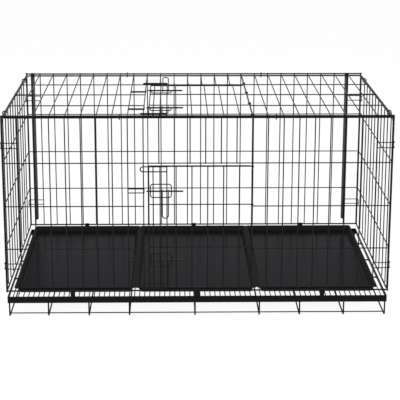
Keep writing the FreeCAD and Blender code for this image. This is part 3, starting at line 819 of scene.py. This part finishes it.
def ring_weld(ring, wire):
    """Where a ring touches a straight wire, and the reach of the bead there."""
    angles = np.linspace(0, 2 * math.pi, RING_SAMPLES, endpoint=False)
    first, second = [np.eye(3)[axis] for axis in range(3) if axis != ring.axis]
    turns = np.outer(np.cos(angles), first) + np.outer(np.sin(angles), second)
    circle = ring.centre + ring.radius * turns
    run = wire.end - wire.start
    share = np.clip((circle - wire.start) @ run / (run @ run), 0, 1)
    nearest = wire.start + np.outer(share, run)
    gaps = np.linalg.norm(circle - nearest, axis=1)
    best = gaps.argmin()
    if gaps[best] >= ring.thick + wire.radius + TOUCH:
        return None
    place = circle[best] + (nearest[best] - circle[best]) * ring.thick / (ring.thick + wire.radius)
    return place, np.full(3, RING_BEAD * ring.thick)


for ring in welded_rings:
    for wire in straight_lengths:
        found = ring_weld(ring, wire) if ring.body == wire.body else None
        if found:
            beads.setdefault(ring.body, []).append(found)
print(sum(len(found) for found in beads.values()), "with the rings")

# %% Butt welds and wire ends
# A butt weld stands a little further out than it reaches along the wire
BUTT_ALONG, BUTT_OUT = 1.1, 1.14
# Floor wires end on the bars in a bead this wide, as a share of their diameter
END_BEAD = 0.62
for weld in butt_welds:
    reach = np.where(weld.along, BUTT_ALONG, BUTT_OUT) * weld.radius
    beads[weld.body].append((weld.place, reach))
for node in ("floor_wires", "floor_cross_wires"):
    for box in boxes_of[node]:
        start, end, diameter = straight(box)
        beads[body_of[node]] += [(tip, np.full(3, END_BEAD * diameter)) for tip in (start, end)]
print({body: len(found) for body, found in beads.items()})

# %% [markdown]
# ## Beads on the welds
#
# There are about a thousand beads, so each has only a few dozen faces. A sphere object for each would
# fill the scene with objects. The second tree puts one sphere on every place instead, stretched by the
# reach that the place carries. There is one mesh for each body, because the welds of a leaf or a side
# panel swing with it.

# %% Weld tree
BEAD_SEGMENTS, BEAD_RINGS = 8, 5
weld_tree, given = new_tree("weld_beads", "Places", ("Segments", "Rings"), "Welds")
bead_reach = add_node(
    weld_tree, "GeometryNodeInputNamedAttribute", {"Name": "bead_reach"},
    data_type="FLOAT_VECTOR").outputs[0]
bead = add_node(weld_tree, "GeometryNodeMeshUVSphere", {
    "Segments": given["Segments"], "Rings": given["Rings"], "Radius": 1}).outputs["Mesh"]
smooth = add_node(weld_tree, "GeometryNodeSetShadeSmooth", {"Geometry": bead}).outputs[0]
set_out = add_node(weld_tree, "GeometryNodeInstanceOnPoints", {
    "Points": given["Places"], "Instance": smooth, "Scale": bead_reach}).outputs[0]
end_tree(weld_tree, set_out, given["Coat"], "Welds")

for body, found in beads.items():
    mesh = bpy.data.meshes.new(f"{body}_welds")
    mesh.from_pydata([tuple(place) for place, _ in found], [], [])
    reach = np.array([size for _, size in found]).ravel()
    mesh.attributes.new("bead_reach", "FLOAT_VECTOR", "POINT").data.foreach_set("vector", reach)
    welds = new_piece(f"{body}_welds", mesh)
    apply_tree(
        welds, weld_tree, segments=BEAD_SEGMENTS, rings=BEAD_RINGS, coat=finishes["wire_coat"])
    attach(welds, body)
    pieces.append(welds)
print(sum(len(found) for found in beads.values()), "beads in", len(beads), "pieces")

# %% [markdown]
# ## Flat strip
#
# The base is edged with rolled strip on edge. Rolling leaves the long edges rounded, and the coat
# softens the cut ends. The CAD bar with its sharp edges would catch no light there, so each bar is
# drawn again as a block with bevelled edges. The two uprights on the back are strip as well, with the
# outer edge folded over to stiffen it. The thin web beside the fold is cut away in a curve at its foot,
# and its coat is painted grey as painted light for its lit face, so it looks greyer than the fold.

# %% Flat strip
FOLD = 5 * MM
WEB = 1.5 * MM
WEB_FOOT = 20 * MM
FOOT_STEPS = 8


def add_block(mesh, low, high):
    """A plain block between two corners."""
    block = bmesh.ops.create_cube(mesh, size=1)["verts"]
    bmesh.ops.scale(mesh, verts=block, vec=high - low)
    bmesh.ops.translate(mesh, verts=block, vec=(low + high) / 2)


def add_folded_strip(mesh, low, high):
    """An upright strip: its fold at the outer side, its web towards the middle of the pen."""
    inward = 1 if low[0] + high[0] < 0 else -1
    outer, inner = (low[0], high[0]) if inward > 0 else (high[0], low[0])
    fold = outer + inward * FOLD
    fold_low, fold_high = low.copy(), high.copy()
    fold_low[0], fold_high[0] = min(outer, fold), max(outer, fold)
    add_block(mesh, fold_low, fold_high)
    width = abs(inner - fold)
    outline = [(fold, high[2]), (inner, high[2])]
    for angle in np.linspace(0, math.pi / 2, FOOT_STEPS):
        drop = width * (1 - math.sin(angle))
        outline.append((fold + inward * width * math.cos(angle), low[2] + WEB_FOOT + drop))
    middle = (low[1] + high[1]) / 2
    near, far = [
        [mesh.verts.new((x, middle + side * WEB / 2, z)) for x, z in outline] for side in (-1, 1)]
    sides = [mesh.faces.new(near), mesh.faces.new(reversed(far))]
    for at in range(len(outline)):
        after = (at + 1) % len(outline)
        sides.append(mesh.faces.new((near[after], near[at], far[at], far[after])))
    # The web takes the second coat, whose grey is painted light for the strip's lit face
    for face in sides:
        face.material_index = 1
    bmesh.ops.recalc_face_normals(mesh, faces=sides)


print("fold", FOLD / MM, "mm wide, web", WEB / MM, "mm thick")

# %% Bars and uprights
STRIP_EDGE = 1.1 * MM
FOLD_EDGE = 0.5 * MM
EDGE_STEPS = 3


def strip_piece(node, shape, edge, coats):
    """The strips of a node, with rounded edges."""
    mesh = bmesh.new()
    for low, high in boxes_of[node]:
        shape(mesh, low, high)
    piece = mesh_piece(f"{node}_rolled", mesh, coats)
    bevel = piece.modifiers.new("rolled_edges", "BEVEL")
    bevel.width = edge
    bevel.segments = EDGE_STEPS
    bevel.harden_normals = True
    settle(piece)
    piece.data.shade_smooth()
    dress(piece, node)


strip_coat = finishes["flat_bar_coat"]
# The web's grey coat is painted light: its paler colour stands for the lit face of the strip
web_coat_painted_lit = powder_coat("thin_powder_coat_on_web", "#4a4947", "#5c5a57", 0.45, 0.2)
base_bars = ("base_front_bar", "base_back_bar", "base_end_bars")
for node in base_bars:
    strip_piece(node, add_block, STRIP_EDGE, [strip_coat])
strip_piece("back_flat_bars", add_folded_strip, FOLD_EDGE, [strip_coat, web_coat_painted_lit])
print(sum(len(boxes_of[node]) for node in base_bars), "base bars")
print(len(boxes_of["back_flat_bars"]), "folded uprights")

# %% [markdown]
# ## Strap clips
#
# Six straps hold the front and back panels on the base. Each is a strip of steel, welded to the face
# of the base bar and rolled round the panel's bottom rail like the knuckle of a hinge, with a small
# seam where the roll comes back to the strap. A tube with a plate on it would have no seam. So the
# strap starts as a line in the plane across the bar, which is drawn out along the bar and thickened.

# %% Strap clips
STRAP = 2 * MM
# From the rail's axis to the middle of the strap where it lies on the bar's face
STRAP_FACE = 2.5 * MM
SIDE_INSET = 0.5 * MM
LEAD_IN = 3 * MM
SEAM_ANGLE = 0.35
ROLL_STEPS = 22
STRAP_EDGE = 0.4 * MM
STRAP_EDGE_STEPS = 2
SHARP_EDGE = math.radians(50)


def strap_outline(low, high, side):
    """The middle line of a strap, from its foot up and round the rail, in Y and Z."""
    roll = (high[1] - low[1]) / 2 - STRAP / 2
    centre = np.array([(low[1] + high[1]) / 2, high[2] - STRAP / 2 - roll])
    face = side * STRAP_FACE
    leave = math.acos(STRAP_FACE / roll)
    line = [(face, low[2] - centre[1]), (face, -roll * math.sin(leave) - LEAD_IN)]
    for angle in np.linspace(math.pi + leave, -math.pi / 2 + SEAM_ANGLE, ROLL_STEPS):
        line.append((-side * roll * math.cos(angle), roll * math.sin(angle)))
    return [centre + point for point in line]


def strap_piece(node):
    """The rolled straps of one side of the base."""
    mesh = bmesh.new()
    for low, high in boxes_of[node]:
        side = math.copysign(1, low[1])
        rows = []
        for x in (low[0] + SIDE_INSET, high[0] - SIDE_INSET):
            rows.append([mesh.verts.new((x, y, z)) for y, z in strap_outline(low, high, side)])
        for at in range(len(rows[0]) - 1):
            mesh.faces.new((rows[0][at], rows[1][at], rows[1][at + 1], rows[0][at + 1]))
    piece = mesh_piece(f"{node}_rolled", mesh, [finishes[slot_of[node]]])
    sheet = piece.modifiers.new("strap", "SOLIDIFY")
    sheet.thickness = STRAP
    sheet.offset = 0
    edge = piece.modifiers.new("edge", "BEVEL")
    edge.width = STRAP_EDGE
    edge.segments = STRAP_EDGE_STEPS
    edge.limit_method = "ANGLE"
    edge.angle_limit = SHARP_EDGE
    settle(piece)
    piece.data.shade_smooth()
    dress(piece, node)


for node in ("front_base_clips", "back_base_clips"):
    strap_piece(node)
    print(node, len(boxes_of[node]))

# %% [markdown]
# ## Trays
#
# A tray is one sheet drawn into a mould: a flat floor, a soft cove, a wall that leans outwards so the
# tray comes off the mould, and a narrow rim turned out at the top. A box with bevels couldn't have the
# cove and the rim. So the tray follows its section, a short list of insets and heights, round a
# rectangle with rounded corners. The list goes up the outside, over the rim and down the inside, so the
# tray is a closed shell with a real wall. Where two trays lie side by side their rims all but meet, so
# those rims reach nearly to the middle of the gap.

# %% Section of a tray
TRAY_SECTION = [
    # inset from the rim's edge and height above the underside of the tray, in mm
    (24, 0), (17.5, 0), (16.2, 0.3), (15.4, 1.1), (8, 16.2), (7, 17.3), (5.6, 17.7), (1, 17.7),
    (0.3, 17.9), (0, 18.6), (0, 19.3), (0.3, 19.8), (1, 20), (6.4, 20), (7.6, 19.8), (8.6, 19),
    (16.2, 4.9), (17.4, 3.4), (19.2, 2.7), (21.4, 2.5), (25, 2.5),
]
WALL_FOOT = TRAY_SECTION.index((16.2, 4.9))
RIM_CORNER = 10 * MM
# Further in, the corners are tighter by this share of the inset
CORNER_TIGHTENING = 0.12
CORNER_STEPS = 8


def rounded_ring(low, high, inset, z, radius):
    """Places round a rectangle with rounded corners, at one height."""
    places = []
    corners = ((high[0], high[1]), (low[0], high[1]), (low[0], low[1]), (high[0], low[1]))
    for number, (x, y) in enumerate(corners):
        centre_x = x - math.copysign(inset + radius, x - (low[0] + high[0]) / 2)
        centre_y = y - math.copysign(inset + radius, y - (low[1] + high[1]) / 2)
        for step in range(CORNER_STEPS + 1):
            angle = math.radians(90 * number + 90 * step / CORNER_STEPS)
            places.append((centre_x + radius * math.cos(angle), centre_y + radius * math.sin(angle), z))
    return places


print("section of", len(TRAY_SECTION), "points, wall foot at number", WALL_FOOT)

# %% Trays
RIM_REACH = 0.45 * MM
TRAYS = ("left_tray", "middle_tray", "right_tray")
TRAYS_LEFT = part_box(TRAYS[0])[0][0]
TRAYS_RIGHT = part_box(TRAYS[-1])[1][0]


def tray_piece(node):
    """A moulded tray, with its floor in the first finish and its walls and rim in the second."""
    low, high = [list(corner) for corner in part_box(node)]
    low[0] -= RIM_REACH if low[0] > TRAYS_LEFT else 0
    high[0] += RIM_REACH if high[0] < TRAYS_RIGHT else 0
    mesh = bmesh.new()
    rows = []
    for inset, height in TRAY_SECTION:
        radius = RIM_CORNER - CORNER_TIGHTENING * inset * MM
        ring = rounded_ring(low, high, inset * MM, low[2] + height * MM, radius)
        rows.append([mesh.verts.new(place) for place in ring])
    for number, (lower, upper) in enumerate(zip(rows, rows[1:])):
        for at in range(len(lower)):
            after = (at + 1) % len(lower)
            face = mesh.faces.new((lower[at], lower[after], upper[after], upper[at]))
            # The outside, the rim and the inner wall take the wall finish, painted lighter as painted
            # light; the cove and floor keep the first
            face.material_index = 1 if number < WALL_FOOT else 0
    mesh.faces.new(reversed(rows[0]))
    mesh.faces.new(rows[-1])
    piece = mesh_piece(f"{node}_moulded", mesh, [finishes[slot_of[node]], painted_lit_wall])
    piece.data.shade_smooth()
    dress(piece, node)


for node in TRAYS:
    tray_piece(node)
print(len(TRAYS), "trays between", round(TRAYS_LEFT, 3), "and", round(TRAYS_RIGHT, 3))

# %% [markdown]
# ## A white room
#
# The pen stands in a plain white studio. Lamps strong enough to turn a floor white would wash out the
# black wire, so the floor and the world are white only to the camera and in reflections. The light that
# falls on the pen stays at a plain level. Where it is seen, the paper keeps a share of its own light,
# and with it the pen's soft shadow, and an even glow makes up the rest.

# %% World
ROOM_LIGHT = 0.55
WHITE = (1, 1, 1, 1)


def seen_directly(tree):
    """1 on rays from the camera, reflections and glass, 0 on the rays that light the pen."""
    path = add_node(tree, "ShaderNodeLightPath").outputs
    seen = path["Is Camera Ray"]
    for name in ("Is Glossy Ray", "Is Transmission Ray"):
        either = add_node(tree, "ShaderNodeMath", {0: seen, 1: path[name]}, operation="MAXIMUM")
        seen = either.outputs[0]
    return seen


studio = bpy.data.worlds.new("studio")
studio.use_nodes = True
scene.world = studio
sky = studio.node_tree.nodes["Background"]
sky.inputs["Color"].default_value = WHITE
brightness = add_node(studio.node_tree, "ShaderNodeMapRange", {
    "Value": seen_directly(studio.node_tree), "To Min": ROOM_LIGHT, "To Max": 1}).outputs[0]
studio.node_tree.links.new(brightness, sky.inputs["Strength"])
print("room light", ROOM_LIGHT)

# %% Paper floor
PAPER = 0.88
SHADOW_SHARE = 0.11
GLOW = 0.932
FLOOR_HALF = 9
paper = bpy.data.materials.new("studio_paper")
paper.use_nodes = True
tree = paper.node_tree
seen = seen_directly(tree)
tone = add_node(tree, "ShaderNodeMapRange", {
    "Value": seen, "To Min": PAPER, "To Max": PAPER * SHADOW_SHARE}).outputs[0]
strength = add_node(tree, "ShaderNodeMath", {0: seen, 1: GLOW}, operation="MULTIPLY").outputs[0]
matt = add_node(tree, "ShaderNodeBsdfDiffuse", {"Color": tone}).outputs[0]
glow = add_node(tree, "ShaderNodeEmission", {"Color": WHITE, "Strength": strength}).outputs[0]
both = add_node(tree, "ShaderNodeAddShader", {0: matt, 1: glow}).outputs[0]
tree.links.new(both, tree.nodes["Material Output"].inputs["Surface"])

floor_mesh = bpy.data.meshes.new("studio_floor")
floor_corners = [(x * FLOOR_HALF, y * FLOOR_HALF, 0) for x, y in ((-1, -1), (1, -1), (1, 1), (-1, 1))]
floor_mesh.from_pydata(floor_corners, [], [(0, 1, 2, 3)])
floor_mesh.materials.append(paper)
new_piece("studio_floor", floor_mesh)
print("floor", 2 * FLOOR_HALF, "m wide")

# %% [markdown]
# ## Lamps
#
# The world alone lights the pen evenly from all round, and leaves the wires without a lit side. A sun
# would draw hard shadows of every wire. So two wide soft lamps add a little direction, one on the left
# in front and a weaker one on the right.

# %% Lamps
LAMP_WIDTH = 2.2
AIM = Vector((0, 0, 0.3))
LAMPS = {"key_lamp": ((-1.8, -2.2, 3.2), 60), "fill_lamp": ((2.2, -1.0, 2.8), 30)}
for name, (place, watts) in LAMPS.items():
    lamp = bpy.data.lights.new(name, "AREA")
    lamp.energy = watts
    lamp.size = LAMP_WIDTH
    holder = bpy.data.objects.new(name, lamp)
    holder.location = place
    # A lamp shines along its own -Z, so that is what has to point at the middle of the pen
    toward_pen = AIM - holder.location
    holder.rotation_euler = toward_pen.to_track_quat("-Z", "Y").to_euler()
    scene.collection.objects.link(holder)
scene.view_settings.view_transform = "Standard"
print(len(LAMPS), "lamps")

# %% [markdown]
# ## Pieces and triangles
#
# The last cell counts the pieces and their triangles.

# %% Pieces and triangles
faces = sum(len(polygon.vertices) - 2 for piece in pieces for polygon in piece.data.polygons)
print(len(pieces), "pieces,", faces, "triangles")
